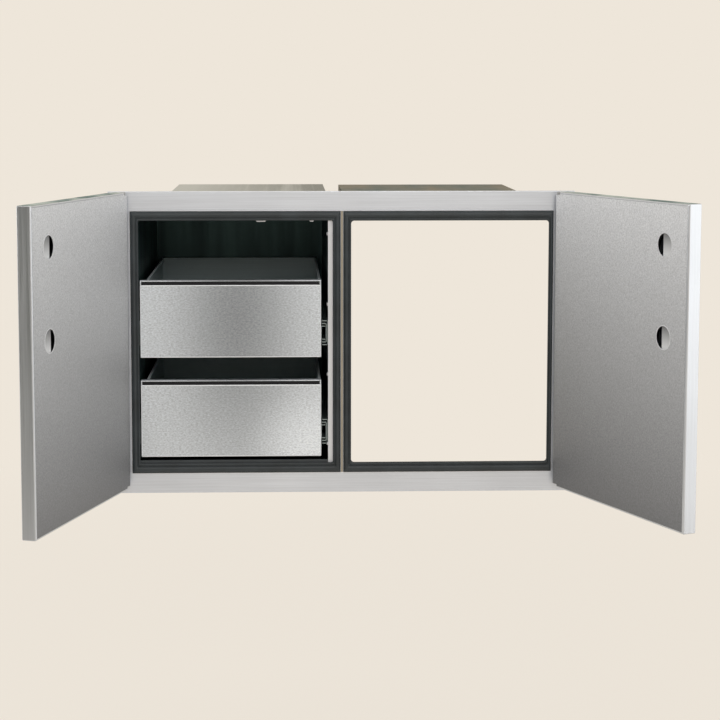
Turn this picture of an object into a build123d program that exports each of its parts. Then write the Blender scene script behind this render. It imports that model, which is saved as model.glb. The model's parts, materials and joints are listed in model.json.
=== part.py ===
from build123d import *
import os

# Built-in outdoor kitchen unit: a sealed front frame with a two-drawer dry pantry on the left,
# an open access bay on the right and a double-walled overlay door on each side.
# Millimetres. +X right, +Y back into the island, +Z up, origin at the centre of the frame's rear seat.

# Front frame
FRAME_W = 838.0
FRAME_H = 548.0
FRAME_DEPTH = 10.0
FRAME_SHEET = 1.5
FRAME_EDGE_R = 1.2
RAIL_W = 38.0
LIP_SIDE_W = 22.0
LIP_END_W = 11.0
MULLION_FACE = 5.0
ANCHOR_INSET = 15.0
ANCHOR_PITCH = 300.0
ANCHOR_HOLE_R = 2.75
ANCHOR_ACCESS_R = 5.0

# Door seals, with heights measured forward from the frame's face
SEAL_W = 14.0
SEAL_BASE_H = 4.0
SEAL_RIB_H = 5.2
SEAL_BULB_H = 6.5
SEAL_OVERHANG = 6.0
SEAL_BULB_W = 4.6
SEAL_RIB_W = 1.8
SEAL_EDGE = 1.0
SEAL_CHAMFER = 0.6
MAGNET_W = 5.0
MAGNET_T = 2.0
MAGNET_CLEAR = 0.2

# Pantry box and bay roof
BOX_SHEET = 1.2
PANTRY_DEPTH = 500.0
PANTRY_TOP_RISE = 24.5
PANTRY_FLOOR_DROP = 14.0
PANTRY_STRIP = 8.5
TOP_STEP_W = 47.0
TOP_STEP_H = 14.0
SILL_RISE = 8.0
WALL_FLANGE = 18.0
END_FLANGE = 16.0
ANGLE_FRONT = 16.0
ANGLE_SIDE = 36.0
RIVET_COUNT = 4
RIVET_SETBACK = 8.0
RIVET_R = 1.6
RIVET_HEAD_R = 3.2
RIVET_HEAD_T = 1.0
MULLION_RIVET_HEAD_T = 2.0
RIVET_CLEAR = 0.05
ROOF_DEPTH = 480.0
ROOF_SIDE_GAP = 17.0
ROOF_RIGHT_INSET = 21.0

# Doors
DOOR_T = 25.0
DOOR_SHEET = 1.2
DOOR_SIDE_REVEAL = 12.0
DOOR_TOP_REVEAL = 0.0
DOOR_BOTTOM_REVEAL = 12.0
DOOR_CENTRE_GAP = 4.0
DOOR_SEAL_GAP = 0.5
DOOR_FRONT_R = 2.0
DOOR_BACK_R = 3.0
DOOR_CORNER_R = 1.5
LINER_SHEET = 1.0
LINER_RIM = 3.4
LINER_LEDGE = 10.0
LINER_GAP = 0.3
LEFT_DOOR_OPEN_DEG = 107.0
RIGHT_DOOR_OPEN_DEG = 113.0

# Door stiffener and handle
ACCESS_HOLE_R = 20.0
ACCESS_HOLE_INSET = 65.0
STIFFENER_GAP = 0.6
STIFFENER_LAP = 5.0
STIFFENER_FOOT = 74.0
STIFFENER_END_GAP = 20.0
HANDLE_DROP = 70.0
HANDLE_PITCH = 152.0
HANDLE_SHIFT = 10.0
HANDLE_R = 6.0
HANDLE_STANDOFF = 25.0
HANDLE_END = 20.0
HANDLE_POST_R = 5.0
HANDLE_END_R = 2.0
SCREW_R = 2.5
SCREW_CLEAR = 0.2
SCREW_DEPTH = 12.0
SCREW_HEAD_R = 4.5
SCREW_HEAD_T = 3.0

# Door hinges
PIVOT_INSET = 10.0
PIN_R = 3.0
PIN_GRIP = 20.0
PIN_RUNNING = 0.05
ARM_W = 10.0
ARM_T = 4.0
ARM_GAP = 1.0
LEG_W = 20.0
LEG_H = 40.0
LEG_T = 2.5
WASHER_R = 5.0
WASHER_T = 0.8
HINGE_BLOCK_W = 24.0
HINGE_BLOCK_H = 26.0
HINGE_SCREW_R = 2.0
HINGE_SCREW_HEAD_R = 3.6
HINGE_SCREW_HEAD_T = 1.4
HINGE_SCREW_TIP = 3.0
HINGE_SCREW_PITCH = 16.0
HINGE_SCREW_DROP = 14.0

# Drawers
DRAWER_RISE = 14.5
DRAWER_GAP = 41.5
BOTTLE_SPACE = 108.0
FRONT_SETBACK = 1.0
FRONT_T = 15.0
FRONT_LEFT_GAP = 3.5
FRONT_RIGHT_GAP = 12.5
FRONT_LIP = 12.0
FRONT_EDGE_R = 0.8
DRAWER_SHEET = 1.2
GROOVE_TOP = 2.0
GROOVE_H = 6.5
GROOVE_END = 2.4
TRIM_T = 2.0
TRIM_LAP = 3.0
TRIM_GAP = 0.2
TUB_DROP = 2.5
TUB_RISE = 3.0
RIM_W = 4.8
RIM_H = 5.0
FRONT_RIVET_INSET = 8.0
FRONT_RIVET_PITCH = 200.0

# Ball-bearing slides, with widths measured from the pantry wall
SLIDE_T = 12.7
SLIDE_H = 45.0
SLIDE_SHEET = 1.2
SLIDE_BEND_R = 2.4
SLIDE_RISE = 42.0
SLIDE_SETBACK = 2.0
SLIDE_BACK_GAP = 40.0
OUTER_DEPTH = 10.5
MIDDLE_START = 2.4
MIDDLE_END_GAP = 1.5
INNER_DEPTH = 8.2
RACE = 3.8
BALL_CLEAR = 0.2
BALL_COUNT = 3
BALL_PITCH = 45.0
CAGE_W = 5.0
CAGE_T = 0.8
CAGE_END = 15.0
CAGE_INSET = 20.0
CAGE_BALL_GAP = 0.06
SLIDE_SCREW_R = 2.0
SLIDE_SCREW_HEAD_R = 3.5
SLIDE_SCREW_HEAD_T = 0.6
SLIDE_SCREW_TIP = 4.0
SLIDE_SCREW_INSET = 50.0
SLIDE_RIVET_INSET = 30.0

# Slide release levers
LEVER_PIVOT_R = 1.5
LEVER_RUNNING = 0.05
LEVER_LENGTH = 42.0
LEVER_H = 7.0
LEVER_T = 2.4
LEVER_HEAD_T = 1.0
LEVER_HEAD_R = 2.6
LEVER_SIDE_GAP = 0.4

# Places worked out from the sizes above
face_y = -FRAME_DEPTH
sheet_back_y = face_y + FRAME_SHEET
frame_x = FRAME_W / 2
frame_z = FRAME_H / 2
seal_x = frame_x - RAIL_W
seal_z = frame_z - RAIL_W
window_inset = SEAL_W - SEAL_OVERHANG
LEFT_SEAL = (-seal_x, -MULLION_FACE / 2, -seal_z, seal_z)
RIGHT_SEAL = (MULLION_FACE / 2, seal_x, -seal_z, seal_z)
mouth_z = seal_z - SEAL_W

pantry_left = LEFT_SEAL[0] + SEAL_W
pantry_right = LEFT_SEAL[1] - SEAL_W - PANTRY_STRIP
pantry_mid = (pantry_left + pantry_right) / 2
pantry_top = seal_z + PANTRY_TOP_RISE
pantry_floor = -seal_z - PANTRY_FLOOR_DROP

door_w = frame_x - DOOR_SIDE_REVEAL - DOOR_CENTRE_GAP / 2
door_back_y = face_y - SEAL_BULB_H - DOOR_SEAL_GAP
door_front_y = door_back_y - DOOR_T
door_top = frame_z - DOOR_TOP_REVEAL
door_bottom = -frame_z + DOOR_BOTTOM_REVEAL
hinge_x = -frame_x + DOOR_SIDE_REVEAL
free_x = hinge_x + door_w
liner_y = door_back_y - LINER_SHEET
ledge_y = liner_y - DOOR_SHEET
skin_y = door_front_y + DOOR_SHEET
pivot_x = hinge_x + PIVOT_INSET
pivot_y = (door_front_y + door_back_y) / 2
notch_h = ARM_T + 2 * ARM_GAP
handle_x = free_x - ACCESS_HOLE_INSET - HANDLE_SHIFT
handle_heights = [door_top - HANDLE_DROP, door_top - HANDLE_DROP - HANDLE_PITCH]

drawer_h = (2 * mouth_z - DRAWER_RISE - DRAWER_GAP - BOTTLE_SPACE) / 2
front_y = face_y + FRONT_SETBACK
tub_y = front_y + FRONT_T
slide_y = tub_y + SLIDE_SETBACK
slide_end_y = PANTRY_DEPTH - BOX_SHEET - SLIDE_BACK_GAP
slide_length = slide_end_y - slide_y
DRAWER_BOTTOMS = {"lower": -mouth_z + DRAWER_RISE, "upper": -mouth_z + DRAWER_RISE + drawer_h + DRAWER_GAP}
SIDES = {"left": 1, "right": -1}

middle_h = SLIDE_H - 2 * SLIDE_SHEET - 2 * RACE
inner_h = middle_h - 2 * SLIDE_SHEET - 2 * RACE
middle_depth = SLIDE_T - MIDDLE_END_GAP - MIDDLE_START
outer_race_z = middle_h / 2 + RACE / 2
inner_race_z = inner_h / 2 + RACE / 2
ball_r = RACE / 2 - BALL_CLEAR
cage_length = (BALL_COUNT - 1) * BALL_PITCH + 2 * CAGE_END
lever_y = slide_y + slide_length / 2


def block(x0, x1, y0, y1, z0, z1):
    """Box between two opposite corners."""
    return Pos((x0 + x1) / 2, (y0 + y1) / 2, (z0 + z1) / 2) * Box(x1 - x0, y1 - y0, z1 - z0)


def rod(radius, start, end):
    """Round bar from one point to another."""
    run = Vector(*end) - Vector(*start)
    seat = Plane(origin=start, z_dir=run.normalized())
    return seat * Cylinder(radius, run.length, align=(Align.CENTER, Align.CENTER, Align.MIN))


def rivet_between(start, end, head_t=RIVET_HEAD_T):
    """Rivet whose shank runs between two sheet faces, with a head past each face."""
    run = (Vector(*end) - Vector(*start)).normalized() * head_t
    before = tuple(Vector(*start) - run)
    after = tuple(Vector(*end) + run)
    return rod(RIVET_R, start, end) + rod(RIVET_HEAD_R, before, start) + rod(RIVET_HEAD_R, end, after)


def front_frame():
    """Folded pan with a rear seat lip, two windows, anchor holes and hinge screw holes."""
    pan = block(-frame_x, frame_x, face_y, 0, -frame_z, frame_z)
    pan = fillet(pan.faces().sort_by(Axis.Y)[0].edges(), FRAME_EDGE_R)
    t = FRAME_SHEET
    pan -= block(-frame_x + t, frame_x - t, sheet_back_y, -t, -frame_z + t, frame_z - t)
    lip_x = frame_x - LIP_SIDE_W
    lip_z = frame_z - LIP_END_W
    pan -= block(-lip_x, lip_x, -t, 0, -lip_z, lip_z)
    for x0, x1, z0, z1 in (LEFT_SEAL, RIGHT_SEAL):
        inset = window_inset
        pan -= block(x0 + inset, x1 - inset, face_y, sheet_back_y, z0 + inset, z1 - inset)
    for x in (-frame_x + ANCHOR_INSET, frame_x - ANCHOR_INSET):
        for z in (-ANCHOR_PITCH / 2, ANCHOR_PITCH / 2):
            pan -= rod(ANCHOR_HOLE_R, (x, -t, z), (x, 0, z))
            pan -= rod(ANCHOR_ACCESS_R, (x, face_y, z), (x, sheet_back_y, z))
    for x, z in hinge_screw_places():
        pan -= rod(HINGE_SCREW_R + SCREW_CLEAR, (x, face_y, z), (x, sheet_back_y, z))
    return pan


def seal_ring(window, near, far, height):
    """Rectangular ring standing on the frame's face, near and far being insets from the seal's edge."""
    x0, x1, z0, z1 = window
    ring = block(x0 + near, x1 - near, face_y - height, face_y, z0 + near, z1 - near)
    return ring - block(x0 + far, x1 - far, face_y - height, face_y, z0 + far, z1 - far)


def seal(window):
    """Seal with a bulb between two ribs and a groove at the back for its magnets."""
    middle = SEAL_W / 2
    body = seal_ring(window, 0, SEAL_W, SEAL_BASE_H)
    ribs = [
        (SEAL_EDGE, SEAL_EDGE + SEAL_RIB_W, SEAL_RIB_H),
        (middle - SEAL_BULB_W / 2, middle + SEAL_BULB_W / 2, SEAL_BULB_H),
        (SEAL_W - SEAL_EDGE - SEAL_RIB_W, SEAL_W - SEAL_EDGE, SEAL_RIB_H),
    ]
    for near, far, height in ribs:
        ring = seal_ring(window, near, far, height)
        body += chamfer(ring.faces().sort_by(Axis.Y)[0].edges(), SEAL_CHAMFER)
    edge = magnet_inset() - MAGNET_CLEAR
    return body - seal_ring(window, edge, edge + MAGNET_W + 2 * MAGNET_CLEAR, MAGNET_T + MAGNET_CLEAR)


def magnet_inset():
    return (window_inset - MAGNET_W) / 2


def seal_magnets(window):
    """Four straight strips in the groove of one seal."""
    x0, x1, z0, z1 = window
    near = magnet_inset()
    far = near + MAGNET_W
    long = far + MAGNET_CLEAR
    y0 = face_y - MAGNET_T
    return [
        block(x0 + near, x0 + far, y0, face_y, z0 + near, z1 - near),
        block(x1 - far, x1 - near, y0, face_y, z0 + near, z1 - near),
        block(x0 + long, x1 - long, y0, face_y, z0 + near, z0 + far),
        block(x0 + long, x1 - long, y0, face_y, z1 - far, z1 - near),
    ]


def rivet_heights():
    """Heights of the mullion rivets, spread evenly over the pantry."""
    pitch = (pantry_top - pantry_floor) / RIVET_COUNT
    return [pantry_floor + (n + 0.5) * pitch for n in range(RIVET_COUNT)]


def slide_mid_z(level):
    return DRAWER_BOTTOMS[level] + SLIDE_RISE


def slide_screw_places():
    """Depth and height of each screw through a pantry wall."""
    depths = (slide_y + SLIDE_SCREW_INSET, slide_end_y - SLIDE_SCREW_INSET)
    return [(y, slide_mid_z(level)) for level in DRAWER_BOTTOMS for y in depths]


def pantry_box():
    """The pantry's five sheets and the angle that joins it to the mullion."""
    t = BOX_SHEET
    low = pantry_floor + t
    high = pantry_top - t
    step_z = high - TOP_STEP_H
    step_x = pantry_left + TOP_STEP_W
    flange_y = sheet_back_y + t
    left = block(pantry_left - t, pantry_left, sheet_back_y, PANTRY_DEPTH, low, step_z)
    left += block(pantry_left - WALL_FLANGE, pantry_left - t, sheet_back_y, flange_y, low, step_z)
    right = block(pantry_right, pantry_right + t, flange_y, PANTRY_DEPTH, low, high)
    angle = block(pantry_right, pantry_right + ANGLE_FRONT, sheet_back_y, flange_y, low, high)
    angle += block(pantry_right + t, pantry_right + 2 * t, flange_y, sheet_back_y + ANGLE_SIDE, low, high)
    screw_hole_r = SLIDE_SCREW_R + SCREW_CLEAR
    for y, z in slide_screw_places():
        left -= rod(screw_hole_r, (pantry_left - t, y, z), (pantry_left, y, z))
        right -= rod(screw_hole_r, (pantry_right, y, z), (pantry_right + t, y, z))
    rivet_y = flange_y + RIVET_SETBACK
    rivets = []
    for z in rivet_heights():
        inside = (pantry_right, rivet_y, z)
        outside = (pantry_right + 2 * t, rivet_y, z)
        hole = rod(RIVET_R + RIVET_CLEAR, inside, outside)
        right -= hole
        angle -= hole
        rivets.append(rivet_between(inside, outside, MULLION_RIVET_HEAD_T))
    ends = (pantry_left - t, pantry_right + t)
    top = block(step_x, ends[1], sheet_back_y, PANTRY_DEPTH, high, pantry_top)
    top += block(step_x, step_x + t, sheet_back_y, PANTRY_DEPTH, step_z, high)
    top += block(ends[0], step_x, sheet_back_y, PANTRY_DEPTH, step_z, step_z + t)
    top += block(pantry_left, pantry_right, sheet_back_y, flange_y, pantry_top - END_FLANGE, high)
    floor = block(*ends, sheet_back_y, PANTRY_DEPTH, pantry_floor, low)
    floor += block(pantry_left, pantry_right, sheet_back_y, flange_y, low, SILL_RISE - mouth_z)
    back = block(pantry_left, pantry_right, PANTRY_DEPTH - t, PANTRY_DEPTH, low, step_z)
    back += block(step_x + t, pantry_right, PANTRY_DEPTH - t, PANTRY_DEPTH, step_z, high)
    return {
        "pantry_left_wall": left,
        "pantry_right_wall": right,
        "mullion_angle": angle,
        "mullion_rivets": rivets,
        "pantry_top": top,
        "pantry_floor": floor,
        "pantry_back": back,
    }


def bay_roof():
    """Drip cover over the access bay, folded down at the front and both sides."""
    t = BOX_SHEET
    x0 = pantry_right + ANGLE_FRONT + ROOF_SIDE_GAP
    x1 = RIGHT_SEAL[1] - SEAL_W - ROOF_RIGHT_INSET
    low = pantry_top - END_FLANGE
    roof = block(x0, x1, sheet_back_y, ROOF_DEPTH, low, pantry_top)
    return roof - block(x0 + t, x1 - t, sheet_back_y + t, ROOF_DEPTH, low, pantry_top - t)


def hinge_levels():
    """Arm bottom height and the way toward the door's middle, for the upper and lower hinge."""
    return {
        "upper": (door_top - ARM_GAP - ARM_T, -1),
        "lower": (door_bottom + ARM_GAP, 1),
    }


def leg_span(level):
    """Low and high end of a hinge leg, which runs from the arm toward the door's middle."""
    arm_z, way = hinge_levels()[level]
    if way < 0:
        return arm_z + ARM_T - LEG_H, arm_z + ARM_T
    return arm_z, arm_z + LEG_H


def leg_screw_heights(level):
    low, high = leg_span(level)
    way = hinge_levels()[level][1]
    start = high if way < 0 else low
    return [start + way * (HINGE_SCREW_DROP + n * HINGE_SCREW_PITCH) for n in range(2)]


def hinge_screw_places():
    """Centre of every hinge screw on the frame's face, for both doors."""
    heights = leg_screw_heights("upper") + leg_screw_heights("lower")
    return [(x, z) for x in (pivot_x, -pivot_x) for z in heights]


def left_hinge_arm(level):
    """Leg screwed to the stile with an arm that reaches forward to the pivot."""
    arm_z = hinge_levels()[level][0]
    low, high = leg_span(level)
    leg_y = face_y - LEG_T
    arm = block(pivot_x - LEG_W / 2, pivot_x + LEG_W / 2, leg_y, face_y, low, high)
    arm += block(pivot_x - ARM_W / 2, pivot_x + ARM_W / 2, pivot_y, leg_y, arm_z, arm_z + ARM_T)
    arm += rod(ARM_W / 2, (pivot_x, pivot_y, arm_z), (pivot_x, pivot_y, arm_z + ARM_T))
    arm -= rod(PIN_R + PIN_RUNNING, (pivot_x, pivot_y, arm_z), (pivot_x, pivot_y, arm_z + ARM_T))
    for z in leg_screw_heights(level):
        arm -= rod(HINGE_SCREW_R + SCREW_CLEAR, (pivot_x, leg_y, z), (pivot_x, face_y, z))
        sink_y = leg_y + HINGE_SCREW_HEAD_T
        arm -= rod(HINGE_SCREW_HEAD_R + SCREW_CLEAR, (pivot_x, leg_y, z), (pivot_x, sink_y, z))
    return arm


def hinge_screws():
    """Flush screws that hold the hinge legs to the frame."""
    leg_y = face_y - LEG_T
    tip_y = sheet_back_y + HINGE_SCREW_TIP
    screws = []
    for x, z in hinge_screw_places():
        screw = rod(HINGE_SCREW_R, (x, leg_y, z), (x, tip_y, z))
        screw += rod(HINGE_SCREW_HEAD_R, (x, leg_y, z), (x, leg_y + HINGE_SCREW_HEAD_T, z))
        screws.append(screw)
    return screws


def hinge_washers():
    """Thin washers between each hinge arm and its block in the door."""
    washers = []
    side_gap = (ARM_GAP - WASHER_T) / 2
    for arm_z, way in hinge_levels().values():
        low = arm_z - ARM_GAP + side_gap if way < 0 else arm_z + ARM_T + side_gap
        for x in (pivot_x, -pivot_x):
            washer = rod(WASHER_R, (x, pivot_y, low), (x, pivot_y, low + WASHER_T))
            washers.append(washer - rod(PIN_R + PIN_RUNNING, (x, pivot_y, low), (x, pivot_y, low + WASHER_T)))
    return washers


def hinge_notches():
    """Space that the arms sweep at the two hinge corners of the closed left door."""
    x1 = pivot_x + ARM_W / 2 + ARM_GAP
    return [
        block(hinge_x, x1, skin_y, door_back_y, door_top - notch_h, door_top),
        block(hinge_x, x1, skin_y, door_back_y, door_bottom, door_bottom + notch_h),
    ]


def left_door_parts():
    """Every piece of the left door, in its closed place."""
    skin = block(hinge_x, free_x, door_front_y, door_back_y, door_bottom, door_top)
    skin = fillet(skin.edges().filter_by(Axis.Y), DOOR_CORNER_R)
    skin = fillet(skin.faces().sort_by(Axis.Y)[-1].edges(), DOOR_BACK_R)
    skin = fillet(skin.faces().sort_by(Axis.Y)[0].edges(), DOOR_FRONT_R)
    t = DOOR_SHEET
    skin -= block(hinge_x + t, free_x - t, skin_y, ledge_y, door_bottom + t, door_top - t)
    rim = LINER_RIM
    skin -= block(hinge_x + rim, free_x - rim, liner_y, door_back_y, door_bottom + rim, door_top - rim)
    ledge = rim + LINER_LEDGE
    skin -= block(hinge_x + ledge, free_x - ledge, ledge_y, liner_y, door_bottom + ledge, door_top - ledge)
    inset = rim + LINER_GAP
    liner_x = free_x - inset
    liner = block(hinge_x + inset, liner_x, liner_y, door_back_y, door_bottom + inset, door_top - inset)
    for notch in hinge_notches():
        skin -= notch
        liner -= notch

    low = door_bottom + STIFFENER_END_GAP
    high = door_top - STIFFENER_END_GAP
    web_x = free_x - ledge - STIFFENER_GAP
    hole_x = free_x - ACCESS_HOLE_INSET
    stiffener = block(hole_x - STIFFENER_LAP, web_x, ledge_y, liner_y, low, high)
    stiffener += block(web_x - t, web_x, skin_y, ledge_y, low, high)
    foot_y = skin_y + t
    stiffener += block(web_x - STIFFENER_FOOT, web_x, skin_y, foot_y, low, high)

    bar_y = door_front_y - HANDLE_STANDOFF
    bar_ends = (handle_heights[1] - HANDLE_END, handle_heights[0] + HANDLE_END)
    handle = rod(HANDLE_R, (handle_x, bar_y, bar_ends[0]), (handle_x, bar_y, bar_ends[1]))
    handle = fillet(handle.edges().filter_by(GeomType.CIRCLE), HANDLE_END_R)
    screws = []
    bore = SCREW_R + SCREW_CLEAR
    for z in handle_heights:
        liner -= rod(ACCESS_HOLE_R, (hole_x, liner_y, z), (hole_x, door_back_y, z))
        handle += rod(HANDLE_POST_R, (handle_x, bar_y, z), (handle_x, door_front_y, z))
        tip_y = door_front_y - SCREW_DEPTH
        handle -= rod(bore, (handle_x, tip_y - SCREW_CLEAR, z), (handle_x, door_front_y, z))
        skin -= rod(bore, (handle_x, door_front_y, z), (handle_x, skin_y, z))
        stiffener -= rod(bore, (handle_x, skin_y, z), (handle_x, foot_y, z))
        screw = rod(SCREW_R, (handle_x, tip_y, z), (handle_x, foot_y, z))
        screws.append(screw + rod(SCREW_HEAD_R, (handle_x, foot_y, z), (handle_x, foot_y + SCREW_HEAD_T, z)))

    blocks = []
    pins = []
    for arm_z, way in hinge_levels().values():
        seat_z = arm_z - ARM_GAP if way < 0 else arm_z + ARM_T + ARM_GAP
        end_z = seat_z + way * HINGE_BLOCK_H
        grip_z = seat_z + way * PIN_GRIP
        tip_z = arm_z + ARM_T if way < 0 else arm_z
        x0 = hinge_x + t
        body = block(x0, x0 + HINGE_BLOCK_W, skin_y, ledge_y, min(seat_z, end_z), max(seat_z, end_z))
        blocks.append(body - rod(PIN_R, (pivot_x, pivot_y, grip_z), (pivot_x, pivot_y, seat_z)))
        pins.append(rod(PIN_R, (pivot_x, pivot_y, grip_z), (pivot_x, pivot_y, tip_z)))
    return {
        "door_skin": skin,
        "door_liner": liner,
        "door_stiffener": stiffener,
        "door_handle": handle,
        "handle_screws": screws,
        "hinge_blocks": blocks,
        "hinge_pins": pins,
    }


def channel(height, depth):
    """Folded channel section with rounded bends: its web is at zero and its legs point to plus X."""
    bend = SLIDE_BEND_R
    t = SLIDE_SHEET
    section = RectangleRounded(2 * depth, height, bend)
    section -= RectangleRounded(2 * depth - 2 * t, height - 2 * t, bend - t)
    section &= Pos(-depth / 2, 0) * Rectangle(depth, height)
    return Pos(depth, 0) * section


def from_wall(side, distance):
    """Distance from a pantry wall as a place along X."""
    return pantry_left + distance if side > 0 else pantry_right - distance


def slide_member(section, web_x, way, mid_z):
    """Channel along the slide with its web at web_x and its legs pointing one way along X."""
    place = Plane(origin=(web_x, slide_y, mid_z), x_dir=(way, 0, 0), z_dir=(0, -way, 0))
    return extrude(place * section, -way * slide_length)


def slide_outer(side, mid_z):
    """Cabinet member, drilled for its screws."""
    member = slide_member(channel(SLIDE_H, OUTER_DEPTH), from_wall(side, 0), side, mid_z)
    hole = SLIDE_SCREW_R + SCREW_CLEAR
    for y in (slide_y + SLIDE_SCREW_INSET, slide_end_y - SLIDE_SCREW_INSET):
        member -= rod(hole, (from_wall(side, 0), y, mid_z), (from_wall(side, SLIDE_SHEET), y, mid_z))
    return member


def slide_screws(side, level):
    """Thin-headed screws that hold one cabinet member to its wall."""
    screws = []
    for y, z in slide_screw_places():
        if z == slide_mid_z(level):
            head = SLIDE_SHEET + SLIDE_SCREW_HEAD_T
            tip = -BOX_SHEET - SLIDE_SCREW_TIP
            screw = rod(SLIDE_SCREW_R, (from_wall(side, tip), y, z), (from_wall(side, head), y, z))
            seat = (from_wall(side, SLIDE_SHEET), y, z)
            screws.append(screw + rod(SLIDE_SCREW_HEAD_R, seat, (from_wall(side, head), y, z)))
    return screws


def slide_middle(side, mid_z):
    return slide_member(channel(middle_h, middle_depth), from_wall(side, MIDDLE_START), side, mid_z)


def lever_span():
    """Near and far face of a release lever, measured from the wall."""
    near = SLIDE_T - INNER_DEPTH + LEVER_HEAD_T + LEVER_SIDE_GAP
    return near, near + LEVER_T


def slide_inner(side, mid_z):
    """Drawer member with the pivot of its release lever and its rivet holes."""
    web = SLIDE_T - SLIDE_SHEET
    member = slide_member(channel(inner_h, INNER_DEPTH), from_wall(side, SLIDE_T), -side, mid_z)
    near = lever_span()[0]
    head = (from_wall(side, near - LEVER_SIDE_GAP - LEVER_HEAD_T), lever_y, mid_z)
    neck = (from_wall(side, near - LEVER_SIDE_GAP), lever_y, mid_z)
    member += rod(LEVER_PIVOT_R, head, (from_wall(side, web), lever_y, mid_z))
    member += rod(LEVER_HEAD_R, head, neck)
    for y in (slide_y + SLIDE_RIVET_INSET, slide_end_y - SLIDE_RIVET_INSET):
        outer = (from_wall(side, web), y, mid_z)
        member -= rod(RIVET_R + RIVET_CLEAR, outer, (from_wall(side, SLIDE_T), y, mid_z))
    return member


def release_lever(side, mid_z):
    """Flat lever with a round hub that rocks on the drawer member's pivot."""
    near, far = (from_wall(side, distance) for distance in lever_span())
    hub = (near, lever_y, mid_z), (far, lever_y, mid_z)
    lever = block(min(near, far), max(near, far), lever_y, lever_y + LEVER_LENGTH,
                  mid_z - LEVER_H / 2, mid_z + LEVER_H / 2)
    lever += rod(LEVER_H / 2, *hub)
    return lever - rod(LEVER_PIVOT_R + LEVER_RUNNING, *hub)


def ball_cages(mid_z):
    """Retainer strips and balls: the outer races at the back of the middle member, the inner at its front."""
    back_y = slide_end_y - CAGE_INSET - cage_length
    front_y0 = slide_y + CAGE_INSET
    outer_mid = (MIDDLE_START + OUTER_DEPTH) / 2
    inner_mid = (SLIDE_T - INNER_DEPTH + MIDDLE_START + middle_depth) / 2
    races = [
        (outer_mid, outer_race_z, back_y),
        (outer_mid, -outer_race_z, back_y),
        (inner_mid, inner_race_z, front_y0),
        (inner_mid, -inner_race_z, front_y0),
    ]
    pieces = []
    for side in SIDES.values():
        for across, up, y0 in races:
            x = from_wall(side, across)
            z = mid_z + up
            half = CAGE_W / 2
            cage = block(x - half, x + half, y0, y0 + cage_length, z - CAGE_T / 2, z + CAGE_T / 2)
            for n in range(BALL_COUNT):
                y = y0 + CAGE_END + n * BALL_PITCH
                cage -= rod(ball_r + CAGE_BALL_GAP, (x, y, z - CAGE_T / 2), (x, y, z + CAGE_T / 2))
                pieces.append(Pos(x, y, z) * Sphere(ball_r))
            pieces.append(cage)
    return pieces


def drawer_front(bottom):
    """Folded front pan with back lips and a groove along its top."""
    t = DRAWER_SHEET
    x0 = pantry_left + FRONT_LEFT_GAP
    x1 = pantry_right - FRONT_RIGHT_GAP
    top = bottom + drawer_h
    pan = block(x0, x1, front_y, tub_y, bottom, top)
    pan = fillet(pan.faces().sort_by(Axis.Y)[0].edges(), FRONT_EDGE_R)
    pan -= block(x0 + t, x1 - t, front_y + t, tub_y - t, bottom + t, top - t)
    lip = FRONT_LIP
    pan -= block(x0 + lip, x1 - lip, tub_y - t, tub_y, bottom + lip, top - lip)
    groove_z = top - GROOVE_TOP - GROOVE_H
    pan -= block(x0 + GROOVE_END, x1 - GROOVE_END, front_y, front_y + t, groove_z, groove_z + GROOVE_H)
    for x, z in front_rivet_places(bottom):
        pan -= rod(RIVET_R + RIVET_CLEAR, (x, tub_y - t, z), (x, tub_y, z))
    return pan


def drawer_trim(bottom):
    """Dark strip behind the groove of the front."""
    gap = DRAWER_SHEET + TRIM_GAP
    x0 = pantry_left + FRONT_LEFT_GAP + gap
    x1 = pantry_right - FRONT_RIGHT_GAP - gap
    y0 = front_y + DRAWER_SHEET
    top = bottom + drawer_h
    return block(x0, x1, y0, y0 + TRIM_T, top - GROOVE_TOP - GROOVE_H - TRIM_LAP, top - gap)


def tub_side(side):
    return from_wall(side, SLIDE_T)


def front_rivet_places(bottom):
    """Centre of each rivet that joins the tub's front wall to the lips of the front."""
    inset = FRONT_RIVET_INSET
    heights = (bottom + inset, bottom + drawer_h - inset)
    xs = (pantry_mid - FRONT_RIVET_PITCH / 2, pantry_mid + FRONT_RIVET_PITCH / 2)
    return [(x, z) for x in xs for z in heights]


def drawer_tub(bottom, mid_z):
    """Open tub with rims hemmed inward, drilled for the slides and the front."""
    t = DRAWER_SHEET
    x0 = tub_side(1)
    x1 = tub_side(-1)
    low = bottom + TUB_RISE
    high = bottom + drawer_h - TUB_DROP
    tub = block(x0, x1, tub_y, slide_end_y, low, high)
    rim_z = high - RIM_H
    tub -= block(x0 + t, x1 - t, tub_y + t, slide_end_y - t, low + t, rim_z)
    tub -= block(x0 + RIM_W, x1 - RIM_W, tub_y + t, slide_end_y - RIM_W, rim_z, high)
    for x, z in front_rivet_places(bottom):
        tub -= rod(RIVET_R + RIVET_CLEAR, (x, tub_y, z), (x, tub_y + t, z))
    for side in SIDES.values():
        for y in (slide_y + SLIDE_RIVET_INSET, slide_end_y - SLIDE_RIVET_INSET):
            skin = (tub_side(side), y, mid_z)
            tub -= rod(RIVET_R + RIVET_CLEAR, skin, (from_wall(side, SLIDE_T + t), y, mid_z))
    return tub


def drawer_rivets(bottom, mid_z):
    """Rivets of the front and of both drawer members."""
    t = DRAWER_SHEET
    rivets = [rivet_between((x, tub_y - t, z), (x, tub_y + t, z)) for x, z in front_rivet_places(bottom)]
    for side in SIDES.values():
        for y in (slide_y + SLIDE_RIVET_INSET, slide_end_y - SLIDE_RIVET_INSET):
            web = (from_wall(side, SLIDE_T - SLIDE_SHEET), y, mid_z)
            rivets.append(rivet_between(web, (from_wall(side, SLIDE_T + t), y, mid_z)))
    return rivets


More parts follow.
